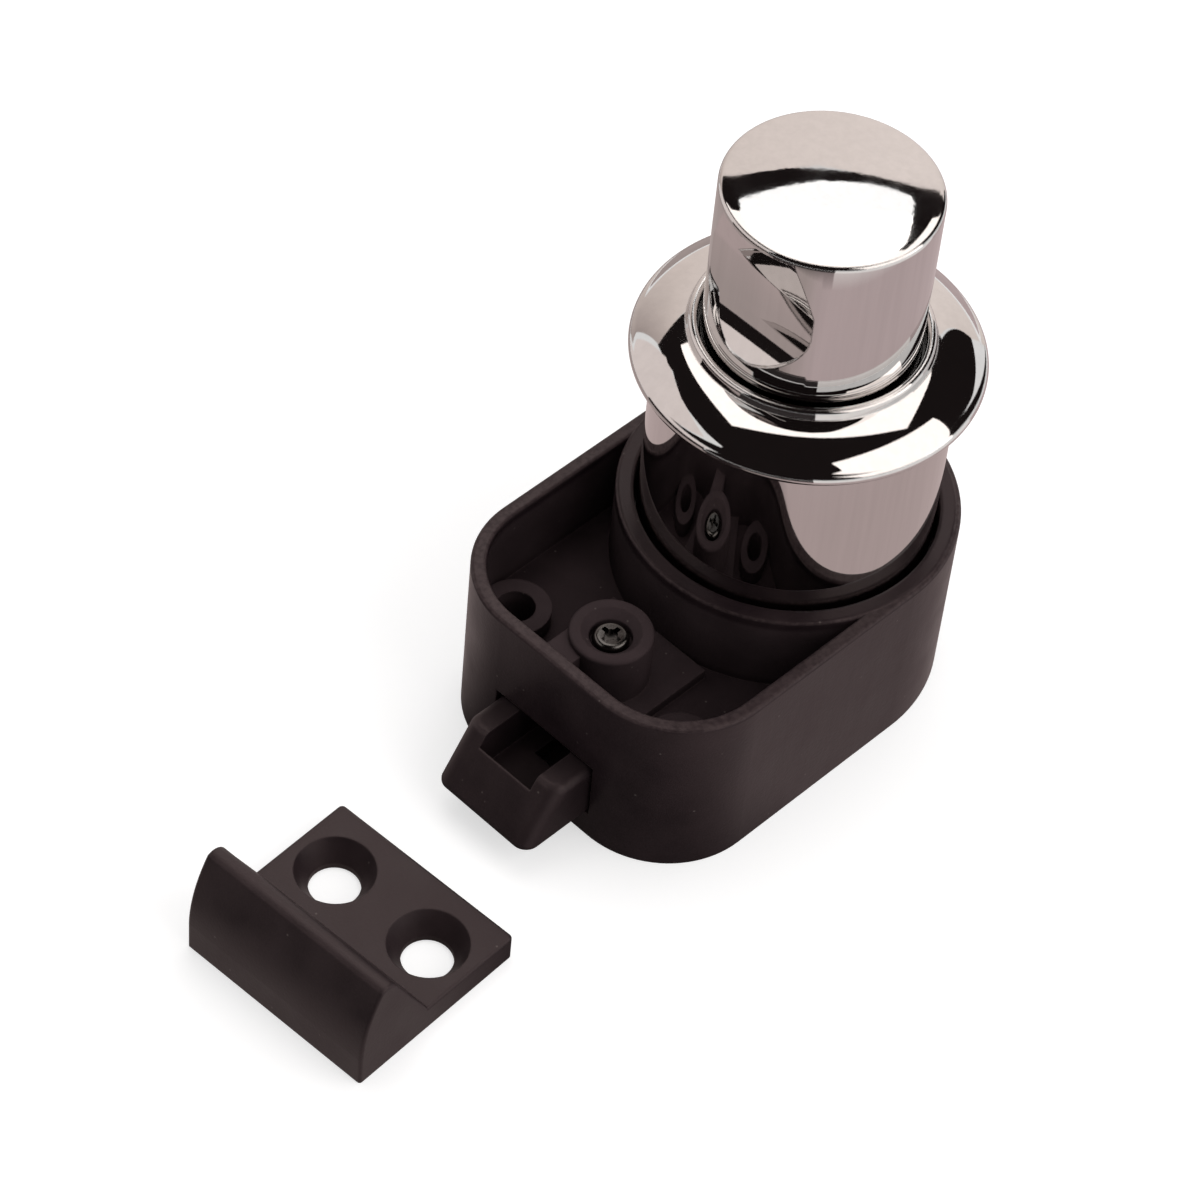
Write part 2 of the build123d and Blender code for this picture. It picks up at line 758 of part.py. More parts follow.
# Bolt: a nose with an open trough, and a tail block that the wedge slides through
with BuildPart() as bolt:
    nose_top_y = bolt_front_y + bolt_nose_slant
    block_front_y = wedge_face_y(bolt_block_top, running_gap)
    with BuildSketch(Plane.YZ):
        with BuildLine():
            Polyline(
                (bolt_front_y, bolt_bottom),
                (bolt_tail_y, bolt_bottom),
                (bolt_tail_y, bolt_block_top),
                (block_front_y, bolt_block_top),
                (wedge_face_y(bolt_top, running_gap), bolt_top),
                (nose_top_y, bolt_top),
                (bolt_front_y, bolt_bottom + bolt_nose_foot),
                (bolt_front_y, bolt_bottom),
            )
        make_face()
    extrude(amount=bolt_half_width, both=True)
    nose_edges = bolt.edges().filter_by(
        lambda edge: abs(edge.center().X) > bolt_half_width - height_tolerance
        and edge.center().Y < nose_top_y
    )
    fillet(nose_edges, radius=bolt_nose_corner)
    nose_rim = bolt.edges().filter_by(at_height(bolt_top)).filter_by(
        lambda edge: edge.center().Y < window_front_y
    )
    fillet(nose_rim, radius=bolt_edge_round)

    # Trough in the nose, open on top, and the slot in its floor for the cover's screw
    with BuildSketch(Plane.XY.offset(bolt_bottom + bolt_trough_floor)):
        with Locations((0, (trough_front_y + trough_rear_y) / 2)):
            Rectangle(bolt_trough_width, trough_rear_y - trough_front_y)
    extrude(amount=bolt_height, mode=Mode.SUBTRACT)
    with BuildSketch(Plane.XY.offset(bolt_bottom)):
        with Locations((0, (slot_front_y + slot_rear_y) / 2)):
            Rectangle(2 * (cover_screw_radius + slide_gap), slot_rear_y - slot_front_y)
    extrude(amount=bolt_trough_floor, mode=Mode.SUBTRACT)

    # Window for the wedge, whose rear wall is the slanted cam face
    with BuildSketch(Plane.YZ):
        with BuildLine():
            Polyline(
                (window_front_y, bolt_bottom),
                (wedge_face_y(bolt_bottom, running_gap), bolt_bottom),
                (block_front_y, bolt_block_top),
                (block_front_y, bolt_block_top + bolt_height),
                (window_front_y, bolt_block_top + bolt_height),
                (window_front_y, bolt_bottom),
            )
        make_face()
    extrude(amount=window_half_width, both=True, mode=Mode.SUBTRACT)

    # Bore in the tail for the bolt's spring
    with BuildSketch(Plane.XZ.offset(-bolt_tail_y)):
        with Locations((0, bolt_spring_height)):
            Circle(bolt_spring_radius + bolt_spring_wire)
    extrude(amount=bolt_tail_y - bolt_spring_bore_end, mode=Mode.SUBTRACT)
bolt.part.label = "bolt"
export_step(bolt.part, "parts/bolt.step")

# Bolt spring, between the bore in the tail and the rear wall
bolt_spring_front = bolt_spring_bore_end + spring_washer_gap / 2
bolt_spring_rise = inner_half_width - bolt_spring_front - bolt_spring_wire - spring_washer_gap
with BuildPart() as bolt_spring:
    with BuildLine() as bolt_coil:
        bolt_spring_start = bolt_spring_front + bolt_spring_wire / 2
        bolt_spring_base = Plane(
            origin=(0, bolt_spring_start, bolt_spring_height), x_dir=(1, 0, 0), z_dir=(0, 1, 0)
        )
        coil(bolt_spring_radius, bolt_spring_rise, bolt_spring_turns, bolt_spring_base)
    with BuildSketch(Plane(origin=bolt_coil.line @ 0, z_dir=bolt_coil.line % 0)):
        Circle(bolt_spring_wire / 2)
    sweep(path=bolt_coil.line)
bolt_spring.part.label = "bolt_spring"
export_step(bolt_spring.part, "parts/bolt_spring.step")

# Striker: a screw-down base with a lip that the bolt closes behind
turn = math.radians(striker_turn)
across = (math.cos(turn), math.sin(turn), 0)
along = (-math.sin(turn), math.cos(turn), 0)
striker_corner = (striker_x, striker_y, 0)
striker_profile_plane = Plane(origin=striker_corner, x_dir=along, z_dir=across)
striker_top_plane = Plane(origin=striker_corner, x_dir=across, z_dir=(0, 0, 1)).offset(striker_base)
mouth_run = striker_mouth_radius - striker_hole_radius
mouth_angle = 2 * math.degrees(math.atan(mouth_run / (striker_base - striker_hole_land)))
with BuildPart() as striker:
    with BuildSketch(striker_profile_plane):
        with BuildLine():
            lip_middle = (striker_lip_height + striker_lip_face) / 2
            lip_edge = striker_lip_height - striker_lip_round
            lip_back = striker_lip_height - striker_lip_top_drop
            Line((striker_length, 0), (0, 0))
            Line((0, 0), (0, striker_lip_face))
            ThreePointArc(
                (0, striker_lip_face),
                (striker_lip_hollow, lip_middle),
                (striker_lip_lean, lip_edge),
            )
            ThreePointArc(
                (striker_lip_lean, lip_edge),
                ((striker_lip_lean + striker_lip_top) / 2, striker_lip_height),
                (striker_lip_top, lip_back),
            )
            Polyline(
                (striker_lip_top, lip_back),
                (striker_lip_foot, striker_base),
                (striker_length, striker_base),
                (striker_length, 0),
            )
        make_face()
    extrude(amount=striker_width)
    rear_corners = striker.edges().filter_by(Axis.Z).sort_by(Axis.Y)[-2:]
    fillet(rear_corners, radius=striker_corner_radius)
    lip_foot = striker.edges().filter_by(at_height(striker_base)).sort_by(Axis.Y)[0]
    underside = striker.edges().filter_by(at_height(0))
    round_edges = striker.edges() - underside - [lip_foot]
    fillet(round_edges, radius=striker_edge_round)
    with Locations(striker_top_plane):
        with Locations(
            ((striker_width - striker_hole_spacing) / 2, striker_length - striker_hole_from_back),
            ((striker_width + striker_hole_spacing) / 2, striker_length - striker_hole_from_back),
        ):
            CounterSinkHole(
                radius=striker_hole_radius,
                counter_sink_radius=striker_mouth_radius,
                depth=striker_base,
                counter_sink_angle=mouth_angle,
            )
striker.part.label = "striker"
export_step(striker.part, "parts/striker.step")

knob_spring_gap = knob_spring_rise / knob_spring_turns - knob_spring_wire
bolt_spring_gap = bolt_spring_rise / bolt_spring_turns - bolt_spring_wire
print("bolt travel", round(bolt_travel, 3), "knob top", round(knob_top + knob_dome, 3))
print("least gap between turns", round(knob_spring_gap, 3), round(bolt_spring_gap, 3))
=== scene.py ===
import math
import bmesh
import bpy
from mathutils import Matrix, Vector


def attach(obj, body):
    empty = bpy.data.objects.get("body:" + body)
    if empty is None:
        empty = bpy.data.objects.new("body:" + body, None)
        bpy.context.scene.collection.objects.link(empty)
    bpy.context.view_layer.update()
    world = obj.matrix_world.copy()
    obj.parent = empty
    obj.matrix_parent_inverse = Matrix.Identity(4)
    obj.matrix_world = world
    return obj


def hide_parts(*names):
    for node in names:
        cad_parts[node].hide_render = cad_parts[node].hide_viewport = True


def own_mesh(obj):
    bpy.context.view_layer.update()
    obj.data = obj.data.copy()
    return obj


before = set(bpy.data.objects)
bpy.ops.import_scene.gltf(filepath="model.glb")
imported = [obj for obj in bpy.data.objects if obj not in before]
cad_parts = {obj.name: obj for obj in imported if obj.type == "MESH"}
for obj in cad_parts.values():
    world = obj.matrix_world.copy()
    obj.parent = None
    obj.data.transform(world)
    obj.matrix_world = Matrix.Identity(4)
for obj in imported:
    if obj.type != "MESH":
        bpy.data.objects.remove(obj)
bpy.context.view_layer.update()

MM = 0.001

# The camera that gives the photograph's outlines
PHOTO_SIDE_PX = 1200
FOCAL_LENGTH_PX = 4450.0
CAMERA_PLACE = Vector((138.3, -181.55, 262.43)) * MM
CAMERA_YAW = math.radians(40.613)
CAMERA_PITCH = math.radians(48.918)
CAMERA_ROLL = math.radians(6.054)
SENSOR_WIDTH = 36.0
NEAREST_SEEN = 0.01
FURTHEST_SEEN = 20

# Meshes: steps round a full turn and along an arc, the angle of a crisp edge, and lengths taken as none
TURN_STEPS = 192
ARC_STEPS = 14
SHARP_FROM = math.radians(28)
SAME_PLACE = 1e-7
NO_LENGTH = 1e-8
COIL_WELD = 1e-6

# Black plastic: its two tones, the same painted paler inside the tray as painted fill light, a painted
# highlight tone for its edges and rim top, its dust and its shine
PLASTIC_DARK = (0.0140, 0.0093, 0.0112)
PLASTIC_LIGHT = (0.0240, 0.0162, 0.0186)
TRAY_PAINTED_FILL_DARK = (0.029, 0.021, 0.0235)
TRAY_PAINTED_FILL_LIGHT = (0.044, 0.032, 0.0355)
PLASTIC_PAINTED_HIGHLIGHT = (0.040, 0.029, 0.031)
DUST = (0.12, 0.105, 0.10)
SHINE_TINT = (1.0, 0.82, 0.82, 1)
TRAY_SHINE = 0.12
TRAY_DULLER = 0.3
GLOSS_SPREAD = 0.12

# The housing in metres: three heights, the middle of a rounded front corner with a height that is never
# reached, the wall's inner face from there, and the place where the open tray ends
DECK_TOP = 0.0085
PAD_TOP = 0.0094
RIM_TOP = 0.0155
FRONT_CORNER_MIDDLE = (0.00525, 0.017, 0.1)
WALL_INNER_FACE = 0.0068
TRAY_END_Y = -0.0042

# Metals and acetal
CHROME = (0.66, 0.645, 0.635)
ZINC = (0.56, 0.55, 0.53)
BLACK_STEEL = (0.12, 0.115, 0.11)
SPRING_WIRE = (0.42, 0.42, 0.43)
CAST_METAL = (0.5, 0.49, 0.48)
GUIDE_ACETAL = (0.06, 0.057, 0.054)
BUSH_ACETAL = (0.03, 0.03, 0.03)

# The lamps, each a corner and its two sides in metres from the latch, and the room's own light
OVERHEAD_LAMP = ((-0.599, 0.206, 0.717), (0.449, -0.370, -0.106), (0.379, 0.467, -0.027))
RIGHT_LAMP = ((0.33, 0.53, 0.63), (0.0, -0.654, 0.0), (0.25, 0.0, -0.426))
LAMP_STRENGTH = 1.75
LAMP_TINT = (1.0, 0.93, 0.89)
ROOM_TINT = (1.0, 0.95, 0.92, 1)
ROOM_STRENGTH = 0.55

# The floor
FLOOR_HALF_SIDE = 2.0
FLOOR_HEIGHT = -0.00002
PAPER = (0.60, 0.625, 0.645, 1)
PAPER_GLOW = 0.56

# The middle of the directions that the cards are given in
ROSETTE_MIDDLE = Vector((0.0, 0.0, 33.0)) * MM

# Painted reflections: what the cards and the table show in polished surfaces, among them a lamp's glowing
# lip and a painted shadow on the table
DARK_ROOM = (0.012, 0.009, 0.009)
LAMP_LIP_GLINT = (1.6, 1.6, 1.6)
LEFT_PANEL = (0.93, 0.83, 0.80)
TABLE_HALF_SIDE = 0.4
TABLE_HEIGHT = -0.00001
TABLE_NEAR = (0.54, 0.435, 0.425)
TABLE_LEFT = (0.46, 0.385, 0.37)
TABLE_RIGHT = (0.585, 0.475, 0.475)
TABLE_SHADE = (0.10, 0.085, 0.08)
TABLE_SHADE_PLACE = (0.003, -0.027, 0.0)
TABLE_FRONT = (0.04, 0.034, 0.034)
TABLE_FAR_RIGHT = (1.0, 0.96, 0.94)


def place_camera():
    """The camera at the photograph's angle, looking down on the latch from the front right."""
    ahead = Vector((
        -math.sin(CAMERA_YAW) * math.cos(CAMERA_PITCH),
        math.cos(CAMERA_YAW) * math.cos(CAMERA_PITCH),
        -math.sin(CAMERA_PITCH),
    ))
    level_right = ahead.cross(Vector((0, 0, 1))).normalized()
    level_up = level_right.cross(ahead)
    right = level_right * math.cos(CAMERA_ROLL) + level_up * math.sin(CAMERA_ROLL)
    up = level_up * math.cos(CAMERA_ROLL) - level_right * math.sin(CAMERA_ROLL)
    data = bpy.data.cameras.new("camera")
    data.sensor_fit = "HORIZONTAL"
    data.sensor_width = SENSOR_WIDTH
    data.lens = FOCAL_LENGTH_PX / PHOTO_SIDE_PX * SENSOR_WIDTH
    data.clip_start = NEAREST_SEEN
    data.clip_end = FURTHEST_SEEN
    camera = bpy.data.objects.new("camera", data)
    turned = Matrix((right, up, -ahead)).transposed().to_4x4()
    camera.matrix_world = Matrix.Translation(CAMERA_PLACE) @ turned
    bpy.context.scene.collection.objects.link(camera)
    bpy.context.scene.camera = camera


# Shapes: a turned piece is a profile of runs and arcs, spun about the knob's axis.
# Profiles are in millimetres from that axis and from the body's underside.

def profile_point(radius, height):
    return Vector((radius, 0, height)) * MM


def vertices_of(pieces):
    return [piece for piece in pieces if isinstance(piece, bmesh.types.BMVert)]


def edges_of(pieces):
    return [piece for piece in pieces if isinstance(piece, bmesh.types.BMEdge)]


def arc_through(made, start, middle, end):
    """A vertex at start, spun round through middle to end. Gives the arc's two end vertices."""
    a, b, c = profile_point(*start), profile_point(*middle), profile_point(*end)
    chord, second = b - a, c - a
    square = chord.cross(second).length_squared
    centre = a + (
        chord.cross(second).cross(chord) * second.length_squared
        + second.cross(chord.cross(second)) * chord.length_squared
    ) / (2 * square)
    turn_axis = (a - centre).cross(b - centre) + (b - centre).cross(c - centre)
    angle = (a - centre).angle(b - centre) + (b - centre).angle(c - centre)
    first = made.verts.new(a)
    swept = bmesh.ops.spin(
        made, geom=[first], cent=centre, axis=turn_axis.normalized(), angle=angle, steps=ARC_STEPS
    )
    return first, vertices_of(swept["geom_last"])[0]


def join_run(made, first, last):
    if (first.co - last.co).length > SAME_PLACE:
        made.edges.new((first, last))


def spin_profile(made):
    """Spins the profile's edges into a closed skin about the knob's axis."""
    bmesh.ops.remove_doubles(made, verts=made.verts, dist=SAME_PLACE)
    bmesh.ops.spin(
        made, geom=made.verts[:] + made.edges[:], cent=(0, 0, 0), axis=(0, 0, 1),
        angle=math.tau, steps=TURN_STEPS, use_merge=True,
    )
    bmesh.ops.remove_doubles(made, verts=made.verts, dist=SAME_PLACE)
    bmesh.ops.dissolve_degenerate(made, edges=made.edges, dist=NO_LENGTH)
    bmesh.ops.recalc_face_normals(made, faces=made.faces)


def turned_profile(*runs):
    """A turned skin. Each run is a point, or an arc of three points, in order round the profile."""
    made = bmesh.new()
    chain = []
    for run in runs:
        if isinstance(run[0], tuple):
            chain.append(arc_through(made, *run))
        else:
            point = made.verts.new(profile_point(*run))
            chain.append((point, point))
    for this, following in zip(chain, chain[1:]):
        join_run(made, this[1], following[0])
    if chain[0][0].co.x > SAME_PLACE:
        join_run(made, chain[-1][1], chain[0][0])
    spin_profile(made)
    return made


def mesh_object(name, made):
    """Turns a bmesh into an object in the scene."""
    mesh = bpy.data.meshes.new(name)
    made.to_mesh(mesh)
    made.free()
    thing = bpy.data.objects.new(name, mesh)
    bpy.context.scene.collection.objects.link(thing)
    return thing


def smooth_with_crisp_edges(mesh):
    mesh.shade_smooth()
    mesh.set_sharp_from_angle(angle=SHARP_FROM)


def new_piece(name, made, material, body):
    """Turns a bmesh into a piece with smooth faces and crisp edges, riding on a body."""
    piece = mesh_object(name, made)
    smooth_with_crisp_edges(piece.data)
    piece.data.materials.append(material)
    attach(piece, body)
    return piece


def filled_prism(outline, depth):
    """A solid from a flat outline of edges, pushed out by depth."""
    bmesh.ops.edgeloop_fill(outline, edges=outline.edges)
    grown = bmesh.ops.extrude_face_region(outline, geom=outline.faces[:])
    bmesh.ops.translate(outline, verts=vertices_of(grown["geom"]), vec=depth * MM)
    bmesh.ops.recalc_face_normals(outline, faces=outline.faces)


def side_arc(made, start, centre, axis, quarters, steps):
    """A run of edges from start, turned about a centre. Gives its first and last vertex."""
    first = made.verts.new(start * MM)
    swept = bmesh.ops.spin(
        made, geom=[first], cent=centre * MM, axis=axis, angle=math.radians(90 * quarters), steps=steps
    )
    return first, vertices_of(swept["geom_last"])[0]


def chain_to(made, tip, *points):
    """A run of edges from the vertex tip through the points. Gives its last vertex."""
    for point in points:
        following = made.verts.new(point * MM)
        made.edges.new((tip, following))
        tip = following
    return tip


def recess_cutter():
    """The block that leaves the finger recess: a flat with a round foot, under a slope and a ledge."""
    face_y, ledge, shoulder, foot, foot_radius = -6.4, 46.9, 42.8, 38.8, 3.6
    outside, side, foot_steps = -16.0, 9.0, 24
    slope_lean, slope_turn = 0.2195, math.radians(1.5)
    made = bmesh.new()
    arc_start, arc_middle = Vector((-side, face_y, foot)), Vector((-side, face_y - foot_radius, foot))
    corner, low = side_arc(made, arc_start, arc_middle, (1, 0, 0), -1, foot_steps)
    high = chain_to(
        made, low, Vector((-side, outside, foot - foot_radius)), Vector((-side, outside, ledge)),
        Vector((-side, face_y, ledge)),
    )
    made.edges.new((high, corner))
    filled_prism(made, Vector((2 * side, 0, 0)))
    slope = Vector((math.sin(slope_turn), math.cos(slope_turn), slope_lean)).normalized()
    cut = bmesh.ops.bisect_plane(
        made, geom=made.verts[:] + made.edges[:] + made.faces[:], dist=SAME_PLACE,
        plane_co=Vector((0, face_y, shoulder)) * MM, plane_no=slope, clear_outer=True,
    )
    bmesh.ops.edgeloop_fill(made, edges=edges_of(cut["geom_cut"]))
    bmesh.ops.recalc_face_normals(made, faces=made.faces)
    return mesh_object("recess_cutter", made)


def recess_outline():
    """The tall arch, half round below, that the recess keeps to on the knob's side."""
    half_width, centre, top, near, depth, steps = 5.0, 40.742, 50.0, -4.0, 14.0, 64
    made = bmesh.new()
    left, right = side_arc(
        made, Vector((-half_width, near, centre)), Vector((0, near, centre)), (0, -1, 0), 2, steps
    )
    above = chain_to(made, right, Vector((half_width, near, top)), Vector((-half_width, near, top)))
    made.edges.new((above, left))
    filled_prism(made, Vector((0, -depth, 0)))
    return mesh_object("recess_outline", made)


def carved(piece, tool, operation):
    """Cuts the piece with the tool, or keeps what they share, and makes that the piece's mesh."""
    carving = piece.modifiers.new("carving", "BOOLEAN")
    carving.operation = operation
    carving.solver = "EXACT"
    carving.object = tool
    bpy.context.view_layer.update()
    cut = bpy.data.meshes.new_from_object(piece.evaluated_get(bpy.context.evaluated_depsgraph_get()))
    piece.modifiers.clear()
    piece.data = cut
    bpy.data.objects.remove(tool)


def push_knob(material):
    """The knob's cap: a faint dome, a rolled rim, and the recess for a fingertip."""
    radius, top, bottom = 8.1, 47.75, 28.2
    dome_middle, dome_edge = (4.05, 47.6625), (7.75, 47.4297)
    roll_middle, roll_foot = (8.0, 47.31), (radius, 47.06)
    skirt_inner, skirt_ceiling = 6.6, 34.2
    chamber_radius, chamber_top = 4.8, 43.8
    socket_outer, socket_inner, socket_bottom, stem_end = 3.2, 2.25, 31.2, 43.85
    made = turned_profile(
        ((0, top), dome_middle, dome_edge),
        (dome_edge, roll_middle, roll_foot),
        (radius, bottom),
        (skirt_inner, bottom),
        (skirt_inner, skirt_ceiling),
        (chamber_radius, skirt_ceiling),
        (chamber_radius, chamber_top),
        (socket_outer, chamber_top),
        (socket_outer, socket_bottom),
        (socket_inner, socket_bottom),
        (socket_inner, stem_end),
        (0, stem_end),
    )
    piece = new_piece("knob_cap", made, material, "push_knob")
    cutter = recess_cutter()
    carved(cutter, recess_outline(), "INTERSECT")
    carved(piece, cutter, "DIFFERENCE")
    piece.data.name = piece.name
    smooth_with_crisp_edges(piece.data)
    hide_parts("knob")


def clamping_rosette(material):
    """The rosette: a crowned flange with a raised ring about the bore, and its sleeve."""
    ring_foot, ring_outer, ring_crest, ring_inner = (9.2, 33.35), (9.1, 33.7), (8.775, 34.05), (8.35, 33.7)
    bore_radius, bush_radius, bush_top, bush_bottom = 8.35, 8.98, 32.6, 28.85
    sleeve_inner, sleeve_outer, sleeve_bottom = 9.75, 11.3, 13.6
    edge_low, edge_middle, edge_high = (12.85, 30.6), (13.2, 31.1), (12.85, 31.6)
    flange_underside, crown_middle = 30.6, (11.025, 32.8)
    made = turned_profile(
        ring_foot,
        (ring_outer, ring_crest, ring_inner),
        (bore_radius, bush_top),
        (bush_radius, bush_top),
        (bush_radius, bush_bottom),
        (sleeve_inner, bush_bottom),
        (sleeve_inner, sleeve_bottom),
        (sleeve_outer, sleeve_bottom),
        (sleeve_outer, flange_underside),
        (edge_low, edge_middle, edge_high),
        (edge_high, crown_middle, ring_foot),
    )
    piece = new_piece("rosette_turned", made, material, "latch_body")
    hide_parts("rosette")


def working_spring(node, name, material):
    """A copy of a coil with its loose points welded, riding on the latch body."""
    made = bmesh.new()
    made.from_mesh(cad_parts[node].data)
    bmesh.ops.remove_doubles(made, verts=made.verts, dist=COIL_WELD)
    piece = new_piece(name, made, material, "latch_body")
    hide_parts(node)
    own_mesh(piece)


# Materials, all worked out from the piece's own coordinates

class Nodes:
    """A material's nodes, with a short way to add and join them."""

    def __init__(self, name, shader="ShaderNodeBsdfPrincipled", result="BSDF"):
        self.material = bpy.data.materials.new(name)
        self.material.use_nodes = True
        self.tree = self.material.node_tree
        self.tree.nodes.clear()
        self.shader = self.add(shader)
        self.output = self.add("ShaderNodeOutputMaterial")
        self.join(self.shader, result, self.output, "Surface")
        self.place = self.add("ShaderNodeTexCoord")

    def add(self, kind, **settings):
        node = self.tree.nodes.new(kind)
        for name, value in settings.items():
            setattr(node, name, value)
        return node

    def join(self, start, out, end, into):
        self.tree.links.new(start.outputs[out], end.inputs[into])

    def noise(self, scale, detail=3.0, stretch=(1, 1, 1)):
        """Noise on the piece's own coordinates, scale in lumps for each metre."""
        mapping = self.add("ShaderNodeMapping")
        mapping.inputs["Scale"].default_value = stretch
        texture = self.add("ShaderNodeTexNoise")
        texture.inputs["Scale"].default_value = scale
        texture.inputs["Detail"].default_value = detail
        self.join(self.place, "Object", mapping, "Vector")
        self.join(mapping, "Vector", texture, "Vector")
        return texture

    def vector_math(self, operation, other=None):
        """A vector sum on the piece's own coordinates and another vector."""
        node = self.add("ShaderNodeVectorMath", operation=operation)
        self.join(self.place, "Object", node, 0)
        if other is not None:
            node.inputs[1].default_value = other
        return node

    def between(self, source, out, low, high, start=0.0, end=1.0):
        """A value that goes from low to high as the source goes from start to end."""
        span = self.add("ShaderNodeMapRange")
        span.inputs["From Min"].default_value = start
        span.inputs["From Max"].default_value = end
        span.inputs["To Min"].default_value = low
        span.inputs["To Max"].default_value = high
        self.join(source, out, span, "Value")
        return span

    def ramp(self, source, out, *stops):
        """A colour that follows the source through stops of (place, colour)."""
        ramp = self.add("ShaderNodeValToRGB")
        first, last = ramp.color_ramp.elements[0], ramp.color_ramp.elements[-1]
        first.position, first.color = stops[0][0], (*stops[0][1], 1)
        last.position, last.color = stops[-1][0], (*stops[-1][1], 1)
        for place, colour in stops[1:-1]:
            ramp.color_ramp.elements.new(place).color = (*colour, 1)
        self.join(source, out, ramp, "Fac")
        return ramp

    def bump(self, source, out, distance, strength=1.0, under=None):
        """Small relief, on top of the direction that under gives."""
        bump = self.add("ShaderNodeBump")
        bump.inputs["Distance"].default_value = distance
        bump.inputs["Strength"].default_value = strength
        self.join(source, out, bump, "Height")
        if under:
            self.join(under, "Normal", bump, "Normal")
        return bump

    def product(self, first, second):
        """Two shares multiplied."""
        product = self.add("ShaderNodeMath", operation="MULTIPLY")
        self.join(first, 0, product, 0)
        self.join(second, 0, product, 1)
        return product

    def mix(self, share, first, second):
        """Goes from the first colour to the second as share goes from 0 to 1. Each is a node or a colour."""
        mix = self.add("ShaderNodeMix", data_type="RGBA")
        colours = [socket for socket in mix.inputs if socket.type == "RGBA"]
        for socket, colour in zip(colours, (first, second)):
            if isinstance(colour, tuple):
                socket.default_value = (*colour, 1)
            else:
                self.tree.links.new(colour_of(colour), socket)
        self.join(share, 0, mix, "Factor")
        return mix


def colour_of(node):
    """The node's colour output."""
    return next(socket for socket in node.outputs if socket.type == "RGBA")


def soft_edges(made, radius):
    """The surface's direction with its edges rounded over by radius."""
    rounded = made.add("ShaderNodeBevel", samples=4)
    rounded.inputs["Radius"].default_value = radius
    return rounded


def edge_share(made, rounded):
    """0 on flat faces, rising to 1 along outer and inner edges, where the painted highlight goes."""
    plain = made.add("ShaderNodeNewGeometry")
    along = made.add("ShaderNodeVectorMath", operation="DOT_PRODUCT")
    made.join(rounded, "Normal", along, 0)
    made.join(plain, "Normal", along, 1)
    return made.between(along, "Value", 1.0, 0.0, start=0.80, end=0.995)


def inside_tray(made, place):
    """1 on the faces inside the housing's open tray, 0 on its outer faces, its rim and its rear part."""
    folded = made.vector_math("ABSOLUTE")
    past_middle = made.add("ShaderNodeVectorMath", operation="SUBTRACT")
    past_middle.inputs[1].default_value = FRONT_CORNER_MIDDLE
    made.join(folded, "Vector", past_middle, 0)
    outwards = made.add("ShaderNodeVectorMath", operation="MAXIMUM")
    outwards.inputs[1].default_value = (0, 0, 0)
    made.join(past_middle, "Vector", outwards, 0)
    away = made.add("ShaderNodeVectorMath", operation="LENGTH")
    made.join(outwards, "Vector", away, 0)
    within_wall = made.between(away, "Value", 1.0, 0.0, WALL_INNER_FACE + 0.0002, WALL_INNER_FACE + 0.0005)
    before_end = made.between(place, "Y", 1.0, 0.0, TRAY_END_Y - 0.0004, TRAY_END_Y)
    below_rim = made.between(place, "Z", 1.0, 0.0, RIM_TOP - 0.0010, RIM_TOP - 0.0006)
    return made.product(made.product(within_wall, before_end), below_rim)


def rim_highlight_share(made, place):
    """Up to 1 in patches on the rim's flat top, where its painted highlight goes, 0 below it and on the
    collar's higher top.
    """
    top = made.between(place, "Z", 0.0, 1.0, RIM_TOP - 0.0002, RIM_TOP - 0.0001)
    below_collar = made.between(place, "Z", 1.0, 0.0, RIM_TOP + 0.00003, RIM_TOP + 0.00008)
    patchy_highlight = made.between(made.noise(2600, detail=4), "Fac", 0.2, 1.0, start=0.35, end=0.6)
    return made.product(made.product(top, below_collar), patchy_highlight)


def dust_share(made):
    """Small pale specks."""
    dust = made.add("ShaderNodeTexVoronoi")
    dust.inputs["Scale"].default_value = 620
    made.join(made.place, "Object", dust, "Vector")
    return made.between(dust, "Distance", 0.55, 0.0, start=0.03, end=0.07)


